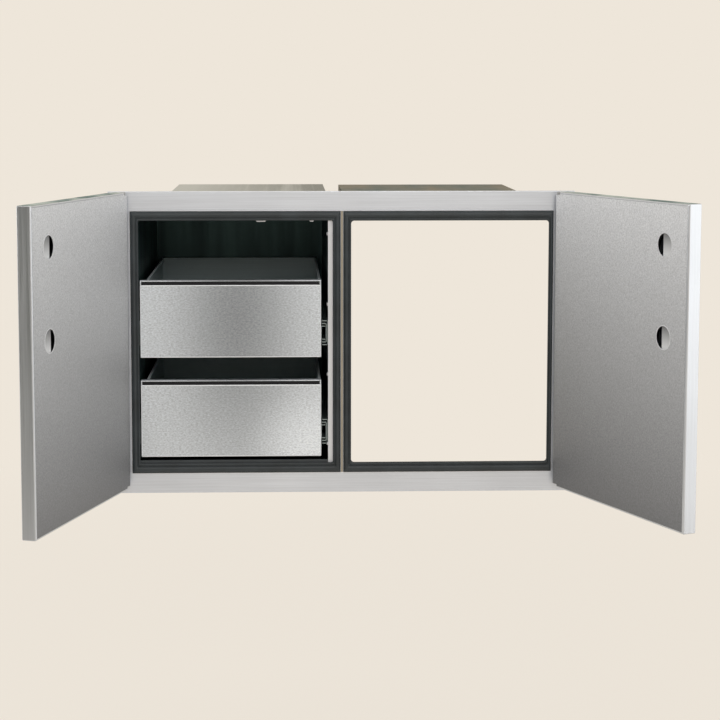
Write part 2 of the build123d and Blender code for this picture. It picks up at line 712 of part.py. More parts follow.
def swung(shape, x, angle):
    """Shape turned about the vertical hinge line at x."""
    return Pos(x, pivot_y, 0) * Rot(0, 0, angle) * Pos(-x, -pivot_y, 0) * shape


def as_list(shape):
    return shape if isinstance(shape, list) else [shape]


nodes = {
    "front_frame": front_frame(),
    "left_gasket": seal(LEFT_SEAL),
    "right_gasket": seal(RIGHT_SEAL),
    "gasket_magnets": seal_magnets(LEFT_SEAL) + seal_magnets(RIGHT_SEAL),
    "bay_roof": bay_roof(),
    "hinge_screws": hinge_screws(),
    "hinge_washers": hinge_washers(),
}
nodes.update(pantry_box())
for level in hinge_levels():
    arm = left_hinge_arm(level)
    nodes[f"left_{level}_hinge_arm"] = arm
    nodes[f"right_{level}_hinge_arm"] = mirror(arm, about=Plane.YZ)
for name, shape in left_door_parts().items():
    pieces = as_list(shape)
    nodes[f"left_{name}"] = [swung(piece, pivot_x, -LEFT_DOOR_OPEN_DEG) for piece in pieces]
    mirrored = [mirror(piece, about=Plane.YZ) for piece in pieces]
    nodes[f"right_{name}"] = [swung(piece, -pivot_x, RIGHT_DOOR_OPEN_DEG) for piece in mirrored]

nodes["slide_screws"] = []
for level, bottom in DRAWER_BOTTOMS.items():
    mid_z = slide_mid_z(level)
    nodes[f"{level}_drawer_front"] = drawer_front(bottom)
    nodes[f"{level}_drawer_trim"] = drawer_trim(bottom)
    nodes[f"{level}_drawer_tub"] = drawer_tub(bottom, mid_z)
    nodes[f"{level}_drawer_rivets"] = drawer_rivets(bottom, mid_z)
    nodes[f"{level}_ball_cages"] = ball_cages(mid_z)
    for name, side in SIDES.items():
        nodes[f"{level}_{name}_slide_outer"] = slide_outer(side, mid_z)
        nodes[f"{level}_{name}_slide_middle"] = slide_middle(side, mid_z)
        nodes[f"{level}_{name}_slide_inner"] = slide_inner(side, mid_z)
        nodes[f"{level}_{name}_release_lever"] = release_lever(side, mid_z)
        nodes["slide_screws"] += slide_screws(side, level)

os.makedirs("parts", exist_ok=True)
for name, shape in nodes.items():
    solids = [solid for piece in as_list(shape) for solid in piece.solids()]
    export_step(Compound(solids), f"parts/{name}.step")
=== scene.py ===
import json
import math

import bmesh
import bpy
from mathutils import Matrix, Vector


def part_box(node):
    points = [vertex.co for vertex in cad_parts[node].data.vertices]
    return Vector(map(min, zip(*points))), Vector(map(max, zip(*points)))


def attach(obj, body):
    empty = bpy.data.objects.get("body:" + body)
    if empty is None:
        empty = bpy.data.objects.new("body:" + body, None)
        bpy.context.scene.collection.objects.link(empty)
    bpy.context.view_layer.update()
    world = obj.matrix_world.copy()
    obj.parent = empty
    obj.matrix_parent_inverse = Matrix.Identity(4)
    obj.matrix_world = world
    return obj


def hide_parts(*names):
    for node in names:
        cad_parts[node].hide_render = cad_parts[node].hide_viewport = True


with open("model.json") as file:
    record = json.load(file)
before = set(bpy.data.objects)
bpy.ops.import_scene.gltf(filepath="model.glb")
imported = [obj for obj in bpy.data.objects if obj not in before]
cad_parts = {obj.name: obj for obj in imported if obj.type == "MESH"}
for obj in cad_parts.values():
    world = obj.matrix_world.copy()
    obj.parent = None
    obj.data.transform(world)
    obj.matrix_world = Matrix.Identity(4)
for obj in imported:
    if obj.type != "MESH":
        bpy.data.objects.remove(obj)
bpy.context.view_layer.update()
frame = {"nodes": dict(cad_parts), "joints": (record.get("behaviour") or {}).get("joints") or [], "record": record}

nodes = frame["nodes"]
joints = {joint["name"]: joint for joint in frame["joints"]}
scene = bpy.context.scene

SIDES = {"left": 1, "right": -1}
LEVELS = ("upper", "lower")

# Seals on the front frame, in metres; legs are the widths of the left, right, lower and upper side
FACE_Y = -0.010
SEAL_W = 0.014
SEAL_TOP_Z = 0.2385
SEAL_LOW_Z = -0.2368
SEAL_LEFT_X = -0.3797
SEAL_RIGHT_X = 0.381
SEAL_MIDDLE_X = 0.0025
SEAL_LEGS = {"left": (0.0145, 0.014, 0.0180, 0.0167), "right": (0.014, 0.0082, 0.0181, 0.0172)}
SEAL_CORNER_R = 0.0006
SEAL_ROUNDING = {"left": 0.15, "right": 0.35}

# Section of a seal: insets from its outer edge, and heights before the frame's face
SEAL_SIDE_H = 0.0030
SEAL_BASE_H = 0.0034
SEAL_BASE = (0.0008, 0.0137)
SEAL_BULB = (0.0016, 0.0094, 0.0065)
SEAL_LIP = (0.0104, 0.0134, 0.0046)
BULB_STEPS = 11
LIP_STEPS = 7

# Sections of the thin trim: distance along the surface, and height over it
EDGE_BEAD = [(-0.0014, 0.0), (-0.0012, 0.0004), (-0.0007, 0.0006), (-0.0002, 0.0004), (0.0, 0.0)]
EDGE_BEAD_R = 0.002
COVER_STRIP = [(-0.0017, 0.0), (-0.0013, 0.0006), (0.0013, 0.0006), (0.0017, 0.0)]
FRONT_HEM = [(0.0002, -0.0009), (0.0002, 0.0002), (0.0007, 0.0005),
             (0.0013, 0.0005), (0.0017, 0.0002), (0.0017, -0.0009)]
FRONT_HEM_R = 0.0024
GROOVE_DROP = 0.0085
TUB_RIM = [(0.0, -0.0006), (0.0002, 0.0003), (0.0008, 0.0007),
           (0.0040, 0.0007), (0.0046, 0.0003), (0.0048, -0.0006)]
HOLE_RIM = [(-0.0010, -0.0002), (-0.0008, 0.0003), (-0.0002, 0.0005), (0.0005, 0.0003), (0.0008, -0.0002)]
CORNER_STEPS = 5
HOLE_STEPS = 40

# Pantry mouth: upright sill with its edging, and two clips as (middle, width)
SILL_X = (-0.3665, -0.0255)
SILL_TOP_Z = -0.214
SILL_BACK_Y = -0.0073
SILL_FRONT_Y = -0.0085
SILL_TRIM_OUTSIDE = [(0.0013, -0.0070), (0.0013, -0.0010), (0.0009, 0.0), (0.0, 0.0005)]
SILL_TRIM_INSIDE = [(0.0001, -0.0070), (0.0001, 0.0001)]
CLIPS = ((-0.1455, 0.018), (-0.0545, 0.008))
CLIP_TOP_Z = 0.234
CLIP_LOW_Z = 0.2194
CLIP_R = 0.003
CLIP_STEPS = 6
PANTRY_CENTRE = (-0.195, 0.245, 0.005)
TOP_SPAN = (-0.30, -0.04)

# Doors, as they are when shut
DOOR_BACK_Y = -0.017
DOOR_TOP_Z = 0.274
DOOR_BOTTOM_Z = -0.262
HOLE_X = -0.067
HOLE_R = 0.020
HOLE_HEIGHTS = (0.204, 0.052)
HOLE_PITCH = HOLE_HEIGHTS[0] - HOLE_HEIGHTS[1]
HOLE_SHADOW = (0.3 * HOLE_R, 1.9 * HOLE_R)

# Rounded rivets, and the angle from which an edge is sharp
RIVETS = ("mullion_rivets", "upper_drawer_rivets", "lower_drawer_rivets")
RIVET_EDGE = 0.0005
RIVET_ANGLE = math.radians(40)
RIVET_STEPS = 2
WELD_REACH = 1e-6
SHARP_ANGLE = math.radians(35)

# Grain of the finishes: repeats in a metre along X, Y and Z
HORIZONTAL = (5.0, 5.0, 520.0)
VERTICAL = (520.0, 520.0, 5.0)
CLOUD = (4.0, 4.0, 4.0)
FOLD_PATCHES = (17.0, 17.0, 1.0)
BLASTED = (380.0, 380.0, 380.0)
FRONT_SPECKLE = (230.0, 230.0, 420.0)
# Streaks of painted reflection on the box tops
TOP_REFLECTION_STREAKS = (26.0, 0.5, 1.0)
ROOF_CLOUD = (9.0, 1.5, 1.5)
SPANGLE = (60.0, 60.0, 60.0)
# Bands of painted sheen inside the pantry
PAINTED_SHEEN_BANDS = (13.0, 13.0, 1.3)
HINGE_GRAIN = (160.0, 160.0, 160.0)
SLIDE_LINES = (60.0, 4.0, 300.0)
CAGE_GRAIN = (90.0, 90.0, 90.0)
RUBBER_SKIN = (700.0, 700.0, 700.0)
DUST = (22.0, 22.0, 22.0)
MOULD_SKIN = (1400.0, 1400.0, 1400.0)

# Depth of the grain's relief, and how far a normal leans before a face looks up or back
RELIEF = 0.0003
FINE_RELIEF = 0.0002
LOOKS_UP = 0.8
LOOKS_BACK = 0.5

# Tones, the two ends of a mix where there are two
SLOW_TONE = (0.94, 1.04)
FOLD_TONES = ((0.15, 0.20, 0.19), (0.40, 0.44, 0.41))
# Liners: painted shade at the door's foot up to painted light at its top
LINER_PAINTED_SHADE_TO_LIGHT = ((0.192, 0.194, 0.201), (0.72, 0.725, 0.735))
FRONT_TONE = (0.655, 0.69, 0.73)
# Drawer fronts: a soft patch of painted shade, then a soft patch of painted highlight
FRONT_PAINTED_SHADE_AND_HIGHLIGHT = (
    dict(centre=(-0.189, 0.055), radii=(0.173, 0.42), factor=0.47),
    dict(centre=(-0.040, -0.190), radii=(0.150, 0.130), factor=1.3),
)
ROOF_TONES = ((0.050, 0.075, 0.058), (0.135, 0.117, 0.072))
BOX_TONES = ((0.25, 0.258, 0.245), (0.30, 0.308, 0.29))
# Box tops: painted light at the left, painted shade at the right; the light tone also paints the reflected streaks
BOX_TOP_PAINTED_LIGHT = (0.43, 0.435, 0.39)
BOX_TOP_PAINTED_SHADE = (0.10, 0.105, 0.083)
# Inside the pantry: painted shade, up to painted sheen in the bands
PANTRY_PAINTED_SHADE_AND_SHEEN = ((0.008, 0.022, 0.025), (0.072, 0.128, 0.126))
PLATE_TONES = ((0.66, 0.66, 0.66), (0.72, 0.72, 0.72))
PLATE_SHADE = (0.17, 0.17, 0.17)
DUST_FACTORS = (0.8, 1.35)
MOULD_FACTORS = (0.75, 1.3)

# Brushed sheets, rubbers and plastics
BRUSHED = {
    # frame_steel's lift at the foot is painted light, for the lower rail that the lamps leave darker
    "frame_steel": dict(colour=(0.645, 0.665, 0.705), grain=HORIZONTAL, contrast=0.08, rough=(0.34, 0.46),
                        metallic=0.55, painted_foot_light=0.09),
    "door_skin": dict(colour=(0.585, 0.61, 0.65), grain=VERTICAL, metallic=0.9, fold=FOLD_TONES),
    # hem_steel is a near-white copy of the drawer steel: a painted highlight on the folded edges of the fronts
    "hem_steel": dict(colour=(0.88, 0.90, 0.92), grain=HORIZONTAL, contrast=0.04, rough=(0.3, 0.4),
                      metallic=0.3),
    # tub_steel is a darker copy of the steel: painted shade, for tubs that sit in the shade of the pantry
    "tub_steel": dict(colour=(0.42, 0.49, 0.50), grain=HORIZONTAL, contrast=0.06, rough=(0.32, 0.44),
                      metallic=0.3),
    # strip_steel is a near-white, not metallic copy of the steel: painted light on thin trim that lies in shade
    "strip_steel": dict(colour=(0.85, 0.83, 0.83), grain=VERTICAL, contrast=0.03, rough=(0.4, 0.5),
                        metallic=0.0),
    "hole_steel": dict(colour=(0.68, 0.68, 0.685), grain=HORIZONTAL, contrast=0.04, rough=(0.45, 0.55),
                       metallic=0.0),
    # rim_steel is a near-white, not metallic copy of the steel: a painted highlight on the tub rims
    "rim_steel": dict(colour=(0.88, 0.92, 0.93), grain=HORIZONTAL, contrast=0.04, rough=(0.3, 0.4),
                      metallic=0.0),
    # mullion_steel's tan is a painted warm reflection on the bare steel mullion
    "mullion_steel": dict(colour=(0.46, 0.40, 0.30), grain=VERTICAL, contrast=0.08, rough=(0.35, 0.45),
                          metallic=0.5),
    "handle_steel": dict(colour=(0.66, 0.66, 0.66), grain=VERTICAL, contrast=0.04, rough=(0.16, 0.26),
                         metallic=0.95),
    "hinge_steel": dict(colour=(0.55, 0.55, 0.55), grain=HINGE_GRAIN, contrast=0.08),
    "slide_steel": dict(colour=(0.40, 0.46, 0.47), grain=SLIDE_LINES, contrast=0.09, rough=(0.26, 0.40)),
    "cage_steel": dict(colour=(0.52, 0.52, 0.51), grain=CAGE_GRAIN, contrast=0.06, rough=(0.2, 0.3),
                       metallic=0.95),
}
RUBBERS = {"seal_rubber": (0.026, 0.033, 0.037), "magnet": (0.02, 0.02, 0.02)}
PLASTICS = {"black_trim": (0.007, 0.007, 0.009), "lever_plastic": (0.02, 0.02, 0.021)}

# Nodes that show another finish than that of their slot
OTHER_FINISH = {
    "left_door_stiffener": "plate_steel",
    "right_door_stiffener": "plate_steel",
    "mullion_rivets": "strip_steel",
}

# Stage
BACKDROP = (0.855, 0.791, 0.701, 1.0)
AMBIENT = (0.93, 0.96, 1.0, 1.0)
AMBIENT_STRENGTH = 0.42
FLOOR_Z = -0.9
FLOOR_HALF = 30.0
FLOOR_COLOUR = (1.0, 0.925, 0.82, 1.0)
FLOOR_SHADOW = (0.16, 0.0)
FLOOR_FADE = (1.0, 3.5)
CARD_PLACE = (-2.4, -2.6, -0.4)
CARD_TARGET = (-0.5, -0.42, 0.0)
CARD_HALF = (1.6, 1.8)
CARD_COLOUR = (0.08, 0.075, 0.04, 1.0)
WHITE = (1.0, 1.0, 1.0)
LAMPS = {
    "key": dict(place=(3.5, -1.15, 0.8), target=(0.1, -0.1, 0.0), size=(2.8, 3.4), power=44.0,
                colour=(0.95, 0.98, 1.0)),
    "fill": dict(place=(-3.5, -0.6, 1.2), target=(-0.1, -0.1, 0.0), size=(1.8, 2.2), power=40.0,
                 colour=WHITE),
    "front": dict(place=(0.2, -4.3, 1.9), target=(0.0, 0.0, 0.0), size=(2.2, 1.2), power=40.0,
                  colour=WHITE),
    "top": dict(place=(0.0, 0.3, 3.2), target=(0.0, 0.0, 0.0), size=(3.0, 2.0), power=24.0,
                colour=WHITE),
}
SENSOR = 36.0
LENS = 91.0
CAMERA_SHIFT = (0.03, -0.12)
CAMERA_PLACE = (-0.1042, -3.2687, 0.4551)
CAMERA_DOWN = 0.1007
CAMERA_TURN = -0.03
CAMERA_REACH = 200.0


class Graph:
    """Node tree of a material or a world, with short calls for the nodes that the finishes share."""

    MIX_FIRST = 6
    MIX_SECOND = 7
    MIX_RESULT = 2

    def __init__(self, owner):
        owner.use_nodes = True
        self.owner = owner
        self.tree = owner.node_tree
        self.shader = self.tree.nodes.get("Principled BSDF")

    def node(self, kind, **settings):
        made = self.tree.nodes.new(kind)
        for key, value in settings.items():
            setattr(made, key, value)
        return made

    def link(self, start, end):
        self.tree.links.new(start, end)

    def feed(self, value, socket):
        """Links or sets a socket; a colour needs no alpha."""
        if isinstance(value, bpy.types.NodeSocket):
            self.link(value, socket)
        elif isinstance(value, tuple):
            socket.default_value = (*value, 1.0)
        else:
            socket.default_value = value

    def set(self, **values):
        for key, value in values.items():
            self.shader.inputs[key.replace("_", " ")].default_value = value

    def part(self, vector, axis):
        """A whole vector, or its part along one axis."""
        if axis is None:
            return vector
        split = self.node("ShaderNodeSeparateXYZ")
        self.link(vector, split.inputs["Vector"])
        return split.outputs[axis]

    def place(self, axis=None):
        return self.part(self.node("ShaderNodeTexCoord").outputs["Object"], axis)

    def normal(self, axis=None):
        return self.part(self.node("ShaderNodeNewGeometry").outputs["Normal"], axis)

    def mapped(self, scale, shift=(0.0, 0.0, 0.0)):
        mapping = self.node("ShaderNodeMapping")
        mapping.inputs["Location"].default_value = shift
        mapping.inputs["Scale"].default_value = scale
        self.link(self.place(), mapping.inputs["Vector"])
        return mapping.outputs["Vector"]

    def noise(self, grain, detail=3.0, rough=0.55):
        noise = self.node("ShaderNodeTexNoise")
        noise.inputs["Scale"].default_value = 1.0
        noise.inputs["Detail"].default_value = detail
        noise.inputs["Roughness"].default_value = rough
        self.link(self.mapped(grain), noise.inputs["Vector"])
        return noise.outputs["Fac"]

    def spread(self, value, to=(0.0, 1.0), span=(0.3, 0.7)):
        """Stretches a span of values to another one, and holds the rest at its ends."""
        ramp = self.node("ShaderNodeMapRange")
        for name, number in zip(("From Min", "From Max", "To Min", "To Max"), (*span, *to)):
            ramp.inputs[name].default_value = number
        self.link(value, ramp.inputs["Value"])
        return ramp.outputs["Result"]

    def math(self, operation, first, second):
        made = self.node("ShaderNodeMath", operation=operation)
        self.feed(first, made.inputs[0])
        self.feed(second, made.inputs[1])
        return made.outputs["Value"]

    def mix(self, factor, first, second, blend="MIX"):
        made = self.node("ShaderNodeMix", data_type="RGBA", blend_type=blend)
        self.feed(factor, made.inputs["Factor"])
        self.feed(first, made.inputs[self.MIX_FIRST])
        self.feed(second, made.inputs[self.MIX_SECOND])
        return made.outputs[self.MIX_RESULT]

    def times(self, colour, factor):
        """Colour made darker or lighter by a grey factor."""
        grey = self.node("ShaderNodeCombineColor")
        for socket in grey.inputs:
            self.link(factor, socket)
        return self.mix(1.0, colour, grey.outputs["Color"], "MULTIPLY")

    def length(self, vector):
        reach = self.node("ShaderNodeVectorMath", operation="LENGTH")
        self.link(vector, reach.inputs[0])
        return reach.outputs["Value"]

    def upward(self):
        """1 on faces that look up, 0 on the others."""
        return self.math("GREATER_THAN", self.normal("Z"), LOOKS_UP)

    def spot(self, centre, radii):
        """0 in the middle of a soft patch of an upright sheet, 1 past its edge."""
        scale = (1 / radii[0], 0.0, 1 / radii[1])
        shift = (-centre[0] / radii[0], 0.0, -centre[1] / radii[1])
        edge = self.node("ShaderNodeMapRange", interpolation_type="SMOOTHSTEP")
        self.link(self.length(self.mapped(scale, shift)), edge.inputs["Value"])
        return edge.outputs["Result"]

    def either(self, factor, first, second):
        """Two shaders mixed by a factor."""
        made = self.node("ShaderNodeMixShader")
        self.link(factor, made.inputs["Fac"])
        self.link(first, made.inputs[1])
        self.link(second, made.inputs[2])
        return made.outputs["Shader"]

    def by_ray(self, plain, seen):
        """One shader for the light that falls on things, another for the camera, gloss and glass."""
        rays = self.node("ShaderNodeLightPath").outputs
        shown = self.math("MAXIMUM", rays["Is Camera Ray"], rays["Is Glossy Ray"])
        shown = self.math("MAXIMUM", shown, rays["Is Transmission Ray"])
        return self.either(shown, plain, seen)

    def finish(self, colour, grain, rough, strength, depth=RELIEF, dull=None, **values):
        """Colour, with roughness and relief from a grain, and matt where dull is 1; returns the material."""
        roughness = self.spread(grain, rough)
        if dull is not None:
            roughness = self.math("MAXIMUM", roughness, dull)
        relief = self.node("ShaderNodeBump")
        relief.inputs["Strength"].default_value = strength
        relief.inputs["Distance"].default_value = depth
        self.link(grain, relief.inputs["Height"])
        self.link(colour, self.shader.inputs["Base Color"])
        self.link(roughness, self.shader.inputs["Roughness"])
        self.link(relief.outputs["Normal"], self.shader.inputs["Normal"])
        self.set(**values)
        return self.owner


def new_graph(name):
    return Graph(bpy.data.materials.new(name))


def shade(colour, factor):
    return tuple(min(1.0, c * factor) for c in colour)


def brushed_steel(name, colour, grain, contrast=0.07, rough=(0.30, 0.44), metallic=0.75,
                  fold=None, painted_foot_light=0.0):
    """Stainless sheet with fine lines along one way and slow tone changes.

    fold holds two tones, mixed in random patches, for the upper fold, which is also matt; the lift at the foot is
    painted light that makes the sheet lighter towards its foot.
    """
    g = new_graph(name)
    lines = g.noise(grain, detail=4.0, rough=0.65)
    skin = g.mix(g.spread(lines), shade(colour, 1 - contrast), shade(colour, 1 + contrast))
    skin = g.times(skin, g.spread(g.noise(CLOUD, detail=2.0), to=SLOW_TONE))
    dull = None
    if painted_foot_light:
        # Painted light: lighter towards the foot of the sheet
        skin = g.times(skin, g.spread(g.place("Z"), to=(1.0 + painted_foot_light, 1.0), span=(DOOR_BOTTOM_Z, 0.0)))
    if fold:
        dull = g.upward()
        patches = g.spread(g.noise(FOLD_PATCHES, detail=2.0), span=(0.42, 0.60))
        skin = g.mix(dull, skin, g.mix(patches, *fold))
    return g.finish(skin, lines, rough, strength=0.12, dull=dull, Metallic=metallic)


def liner_steel(name):
    """Bead-blasted satin liner: even fine speckle, with painted light that makes it lighter towards the top."""
    g = new_graph(name)
    speckle = g.noise(BLASTED, rough=0.75)
    height = g.spread(g.place("Z"), span=(DOOR_BOTTOM_Z, DOOR_TOP_Z))
    tone = g.times(g.mix(height, *LINER_PAINTED_SHADE_TO_LIGHT), g.spread(speckle, to=(0.76, 1.24)))
    return g.finish(tone, speckle, rough=(0.50, 0.62), strength=0.10, depth=FINE_RELIEF, Metallic=0.25)


def drawer_steel(name):
    """Satin drawer front: fine speckle drawn out sideways, with a soft patch of painted shade and a soft patch of
    painted highlight.
    """
    g = new_graph(name)
    speckle = g.noise(FRONT_SPECKLE, rough=0.75)
    tone = FRONT_TONE
    for patch in FRONT_PAINTED_SHADE_AND_HIGHLIGHT:
        tone = g.mix(g.spot(patch["centre"], patch["radii"]), shade(FRONT_TONE, patch["factor"]), tone)
    tone = g.times(tone, g.spread(speckle, to=(0.72, 1.28)))
    return g.finish(tone, speckle, rough=(0.36, 0.50), strength=0.08, depth=FINE_RELIEF, Metallic=0.6)


def roof_sheet(name):
    """Dark galvanised cover, clouded between a green and a brown tone."""
    g = new_graph(name)
    cloud = g.spread(g.noise(ROOF_CLOUD, rough=0.6), span=(0.38, 0.62))
    spangle = g.noise(SPANGLE)
    tone = g.times(g.mix(cloud, *ROOF_TONES), g.spread(spangle, to=(0.8, 1.2)))
    return g.finish(tone, spangle, rough=(0.5, 0.7), strength=0.08, Metallic=0.3)


def painted_top_light(g):
    """Flat top sheet: painted light at the left, painted shade at the right, with pale streaks of painted
    reflection from front to back.
    """
    slope = g.mix(g.spread(g.place("X"), span=TOP_SPAN), BOX_TOP_PAINTED_LIGHT, BOX_TOP_PAINTED_SHADE)
    streaks = g.spread(g.noise(TOP_REFLECTION_STREAKS, rough=0.6), to=(0.0, 0.85), span=(0.52, 0.72))
    return g.mix(streaks, slope, BOX_TOP_PAINTED_LIGHT)


def looks_into_pantry(g):
    """1 on faces that look towards the middle of the pantry, but not on the backs of its flanges."""
    inward = g.node("ShaderNodeVectorMath", operation="SUBTRACT")
    inward.inputs[0].default_value = PANTRY_CENTRE
    g.link(g.place(), inward.inputs[1])
    facing = g.node("ShaderNodeVectorMath", operation="DOT_PRODUCT")
    g.link(inward.outputs["Vector"], facing.inputs[0])
    g.link(g.normal(), facing.inputs[1])
    towards = g.math("GREATER_THAN", facing.outputs["Value"], 0.0)
    return g.math("MULTIPLY", towards, g.math("LESS_THAN", g.normal("Y"), LOOKS_BACK))


def box_steel(name):
    """Mill-finish sheet of the boxes: plain grey outside with painted light on the tops, and inside the pantry
    painted shade with bands of painted sheen.
    """
    g = new_graph(name)
    lines = g.noise(VERTICAL)
    bands = g.spread(g.noise(PAINTED_SHEEN_BANDS, detail=2.0), span=(0.40, 0.66))
    outside = g.mix(g.upward(), g.mix(g.spread(lines), *BOX_TONES), painted_top_light(g))
    tone = g.mix(looks_into_pantry(g), outside, g.mix(bands, *PANTRY_PAINTED_SHADE_AND_SHEEN))
    return g.finish(tone, lines, rough=(0.34, 0.50), strength=0.06, Metallic=0.6)


def plate_steel(name):
    """Light plate behind the access holes, shaded under the upper edge of each hole."""
    g = new_graph(name)
    lines = g.noise(VERTICAL)
    # Three more pitches keep the height positive down to the foot of the door
    height = g.math("ADD", g.place("Z"), HOLE_R - HOLE_HEIGHTS[1] + 3 * HOLE_PITCH)
    shadow = g.spread(g.math("MODULO", height, HOLE_PITCH), span=HOLE_SHADOW)
    tone = g.mix(shadow, g.mix(g.spread(lines), *PLATE_TONES), PLATE_SHADE)
    return g.finish(tone, lines, rough=(0.45, 0.6), strength=0.06)


def rubber(name, colour):
    """Dull rubber with a little dust."""
    g = new_graph(name)
    dust = g.spread(g.noise(DUST, detail=4.0), span=(0.35, 0.75))
    tone = g.mix(dust, *(shade(colour, factor) for factor in DUST_FACTORS))
    return g.finish(tone, g.noise(RUBBER_SKIN), rough=(0.42, 0.60), strength=0.12, depth=FINE_RELIEF)


def moulded_plastic(name, colour):
    """Finely grained plastic."""
    g = new_graph(name)
    fine = g.noise(MOULD_SKIN, detail=2.0)
    tone = g.mix(g.spread(fine), *(shade(colour, factor) for factor in MOULD_FACTORS))
    return g.finish(tone, fine, rough=(0.48, 0.66), strength=0.2, depth=FINE_RELIEF, Specular_IOR_Level=0.25)


sheets = {
    "door_liner": liner_steel,
    "drawer_steel": drawer_steel,
    "roof_steel": roof_sheet,
    "box_steel": box_steel,
    "plate_steel": plate_steel,
}
finishes = {name: brushed_steel(name, **look) for name, look in BRUSHED.items()}
finishes |= {name: make(name) for name, make in sheets.items()}
finishes |= {name: rubber(name, colour) for name, colour in RUBBERS.items()}
finishes |= {name: moulded_plastic(name, colour) for name, colour in PLASTICS.items()}

for subpart in frame["record"]["subparts"]:
    finish = OTHER_FINISH.get(subpart["node"], subpart["material_slot"])
    materials = nodes[subpart["node"]].data.materials
    materials.clear()
    materials.append(finishes[finish])

for name in RIVETS:
    weld = nodes[name].modifiers.new("join", "WELD")
    weld.merge_threshold = WELD_REACH
    bevel = nodes[name].modifiers.new("round", "BEVEL")
    bevel.width = RIVET_EDGE
    bevel.segments = RIVET_STEPS
    bevel.limit_method = "ANGLE"
    bevel.angle_limit = RIVET_ANGLE
    bevel.harden_normals = True


def new_object(name, data):
    made = bpy.data.objects.new(name, data)
    scene.collection.objects.link(made)
    return made


def new_piece(name, bm, body, finish):
    """Piece from a mesh in the row frame, riding on a body."""
    mesh = bpy.data.meshes.new(name)
    bmesh.ops.recalc_face_normals(bm, faces=bm.faces)
    bm.to_mesh(mesh)
    bm.free()
    mesh.shade_smooth()
    mesh.set_sharp_from_angle(angle=SHARP_ANGLE)
    mesh.materials.append(finishes[finish])
    piece = new_object(name, mesh)
    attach(piece, body)
    return piece


def sweep(bm, loops, closed=False):
    """Skin over a row of point loops, with flat ends unless the row closes on itself."""
    loops = [[bm.verts.new(point) for point in loop] for loop in loops]
    following = loops[1:] + loops[:1] if closed else loops[1:]
    for loop, after in zip(loops, following):
        for n in range(len(loop)):
            m = (n + 1) % len(loop)
            bm.faces.new((loop[n], loop[m], after[m], after[n]))
    if not closed:
        bm.faces.new(loops[0])
        bm.faces.new(loops[-1])


def swept(loops, closed=False):
    """New mesh with one sweep."""
    bm = bmesh.new()
    sweep(bm, loops, closed)
    return bm


def quarter(x, z, radius, start, steps):
    """Points of a quarter circle, from an angle in degrees."""
    angles = [math.radians(start + 90 * n / steps) for n in range(steps + 1)]
    return [(x + radius * math.cos(a), z + radius * math.sin(a)) for a in angles]


def rounded_loop(window, insets, radius):
    """Rectangle with rounded corners, set in from the left, right, lower and upper edge of a window."""
    inward = (1, -1, 1, -1)
    left, right, low, high = (
        edge + way * inset + way * radius for edge, way, inset in zip(window, inward, insets)
    )
    points = []
    for n, (x, z) in enumerate(((right, high), (left, high), (left, low), (right, low))):
        points += quarter(x, z, radius, 90 * n, CORNER_STEPS)
    return points


def ring_of(window, profile, corner_r, rounding=-1.0, face_y=FACE_Y, legs=(1.0, 1.0, 1.0, 1.0)):
    """Closed ring: each profile point is (inset, height before a front face), and legs stretch the insets.

    The corners change their radius by the rounding with each inset.
    """
    loops = []
    for inset, height in profile:
        outline = rounded_loop(window, [inset * leg for leg in legs], corner_r + rounding * inset)
        loops.append([(x, face_y - height, z) for x, z in outline])
    return swept(loops, closed=True)


def lobe(start, end, height, steps):
    """Half-round ridge of a seal between two insets."""
    middle = (start + end) / 2
    half = (end - start) / 2
    rise = height - SEAL_BASE_H
    angles = [math.pi * n / steps for n in range(steps + 1)]
    return [(middle - half * math.cos(a), SEAL_BASE_H + rise * math.sin(a)) for a in angles]


def seal_profile():
    """Section of a door seal: a broad round bulb and a low inner lip, on a flat foot."""
    points = [(0.0, 0.0), (0.0, SEAL_SIDE_H), (SEAL_BASE[0], SEAL_BASE_H)]
    points += lobe(*SEAL_BULB, BULB_STEPS)
    points += lobe(*SEAL_LIP, LIP_STEPS)
    points += [(SEAL_BASE[1], SEAL_BASE_H), (SEAL_W, SEAL_SIDE_H), (SEAL_W, 0.0)]
    return points


windows = {
    "left": (SEAL_LEFT_X, -SEAL_MIDDLE_X, SEAL_LOW_Z, SEAL_TOP_Z),
    "right": (SEAL_MIDDLE_X, SEAL_RIGHT_X, SEAL_LOW_Z, SEAL_TOP_Z),
}
for side, window in windows.items():
    legs = [width / SEAL_W for width in SEAL_LEGS[side]]
    bm = ring_of(window, seal_profile(), SEAL_CORNER_R, SEAL_ROUNDING[side], legs=legs)
    seal = new_piece(f"{side}_seal_section", bm, "cabinet", "seal_rubber")
    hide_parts(f"{side}_gasket")

# Bead round the whole opening; its near-white steel is a painted highlight along the edge
opening = (SEAL_LEFT_X, SEAL_RIGHT_X, SEAL_LOW_Z, SEAL_TOP_Z)
bm = ring_of(opening, EDGE_BEAD, EDGE_BEAD_R)
new_piece("opening_edge_bead", bm, "cabinet", "strip_steel")


def rim_cap(low, high):
    """Rounded cap along the left, back and right rim of an open tub."""
    rows = []
    for inset, up in TUB_RIM:
        left, right, back = low[0] + inset, high[0] - inset, high[1] - inset
        path = ((left, low[1]), (left, back), (right, back), (right, low[1]))
        rows.append([(x, y, high[2] + up) for x, y in path])
    return swept(list(zip(*rows)))


# Hems round the drawer fronts; their near-white steel is a painted highlight on the folded edge
for level in LEVELS:
    low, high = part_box(f"{level}_drawer_front")
    window = (low[0], high[0], low[2], high[2] - GROOVE_DROP)
    bm = ring_of(window, FRONT_HEM, FRONT_HEM_R, face_y=low[1])
    new_piece(f"{level}_front_hem", bm, f"{level}_drawer", "hem_steel")
# Rims of the tubs; their near-white steel is a painted highlight along each rim
for level in LEVELS:
    bm = rim_cap(*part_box(f"{level}_drawer_tub"))
    new_piece(f"{level}_tub_rim", bm, f"{level}_drawer", "rim_steel")


